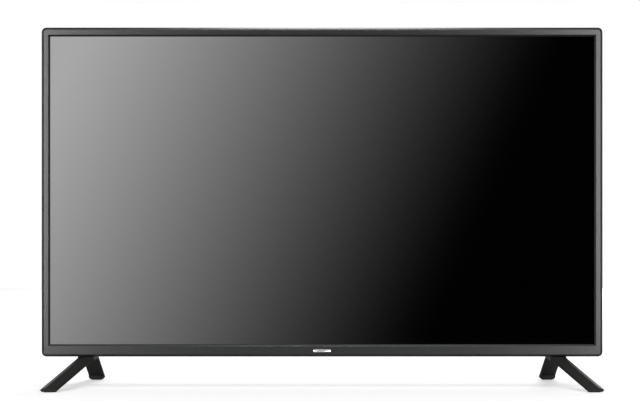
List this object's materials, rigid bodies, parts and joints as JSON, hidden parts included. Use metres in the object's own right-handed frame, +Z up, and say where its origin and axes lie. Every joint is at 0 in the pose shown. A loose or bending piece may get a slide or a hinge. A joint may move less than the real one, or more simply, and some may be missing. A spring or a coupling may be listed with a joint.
{
  "type": "flat screen television",
  "caption": "Flat screen television on splayed feet, with a grey bezel, panel stack, boards, speakers, wall mount nuts and a joystick button under the edge.",
  "frame": {"origin": "on the table, in the middle of the space that the set and its feet take", "axes": "+X to the right seen from the front, +Y from the front to the back, +Z up"},
  "size_m": [0.961, 0.193, 0.6159],
  "materials": {
    "frame_black": "satin",
    "tinted_window": "gloss",
    "bezel_gunmetal": "brushed satin",
    "badge_silver": "satin",
    "black_foam": "matte",
    "screen_glass": "anti-glare",
    "black_plastic": "satin",
    "dark_plastic": "satin",
    "white_sheet": "satin",
    "white_plastic": "matte",
    "bar_aluminium": "matte",
    "lamp_yellow": "gloss",
    "clear_lens": "gloss",
    "zinc_steel": "matte",
    "plated_steel": "satin",
    "dark_steel": "satin",
    "cover_black": "fine texture",
    "green_board": "satin",
    "tan_board": "satin",
    "chip_black": "matte",
    "sink_aluminium": "satin",
    "coil_yellow": "satin",
    "can_black": "gloss",
    "film_amber": "gloss",
    "ribbon_white": "satin",
    "cable_grey": "satin",
    "black_rubber": "matte",
    "cone_black": "matte",
    "foot_black": "satin"
  },
  "bodies": {
    "set": {"outer_frame": "frame_black", "receiver_window": "tinted_window", "receiver_board": "green_board", "front_bezel": "bezel_gunmetal", "badge_bar": "badge_silver", "foam_strip": "black_foam", "picture_panel": "screen_glass", "guide_panel": "black_plastic", "light_sheets": "white_sheet", "diffuser_plate": "white_sheet", "diffuser_posts": "white_plastic", "reflector_tray": "white_plastic", "light_bars": "bar_aluminium", "light_chips": "lamp_yellow", "light_lenses": "clear_lens", "back_chassis": "zinc_steel", "wall_rails": "zinc_steel", "wall_nuts": "plated_steel", "rear_cover": "cover_black", "cover_screws": "dark_steel", "main_board": "green_board", "main_chips": "chip_black", "main_heatsink": "sink_aluminium", "hdmi_sockets": "plated_steel", "usb_socket": "plated_steel", "headphone_jack": "black_plastic", "lan_socket": "black_plastic", "phono_jacks": "plated_steel", "coax_socket": "plated_steel", "side_jack_plate": "cover_black", "lower_jack_plate": "cover_black", "power_board": "tan_board", "power_transformers": "coil_yellow", "power_capacitors": "can_black", "power_heatsinks": "sink_aluminium", "mains_inlet": "black_plastic", "timing_board": "green_board", "timing_lid": "plated_steel", "source_boards": "green_board", "source_films": "film_amber", "source_ribbons": "ribbon_white", "board_screws": "plated_steel", "cables": "cable_grey", "speaker_boxes": "black_plastic", "speaker_frames": "dark_plastic", "speaker_magnets": "plated_steel", "speaker_surrounds": "black_rubber", "key_board": "green_board", "key_bridge": "black_plastic", "joystick_base": "dark_plastic", "stand_brackets": "zinc_steel", "stand_screws": "dark_steel", "stand_foot_right": "foot_black", "stand_foot_left": "foot_black", "foot_pads": "black_rubber"},
    "joystick_ring": {"joystick_gimbal": "white_plastic"},
    "joystick_lever": {"joystick_stem": "dark_plastic"},
    "joystick_button": {"joystick_cap": "black_plastic"},
    "right_cone": {"speaker_cone_right": "cone_black"},
    "left_cone": {"speaker_cone_left": "cone_black"}
  },
  "joints": [
    {"name": "joystick_forward_back", "type": "hinge", "parent": "set", "child": "joystick_ring", "pos_m": [0, 0.0215, 0.0662], "axis": [1, 0, 0], "range_deg": [-6, 6], "stiffness_Nm_per_rad": 0.1},
    {"name": "joystick_left_right", "type": "hinge", "parent": "joystick_ring", "child": "joystick_lever", "pos_m": [0, 0.0215, 0.0662], "axis": [0, 1, 0], "range_deg": [-6, 6], "stiffness_Nm_per_rad": 0.1},
    {"name": "joystick_press", "type": "slide", "parent": "joystick_lever", "child": "joystick_button", "axis": [0, 0, 1], "range_m": [0, 0.0005], "stiffness_N_per_m": 1500, "springref_m": -0.0003},
    {"name": "right_cone_travel", "type": "slide", "parent": "set", "child": "right_cone", "axis": [0, 0, 1], "range_m": [-0.0008, 0.0008], "stiffness_N_per_m": 1500},
    {"name": "left_cone_travel", "type": "slide", "parent": "set", "child": "left_cone", "axis": [0, 0, 1], "range_m": [-0.0008, 0.0008], "stiffness_N_per_m": 1500}
  ]
}
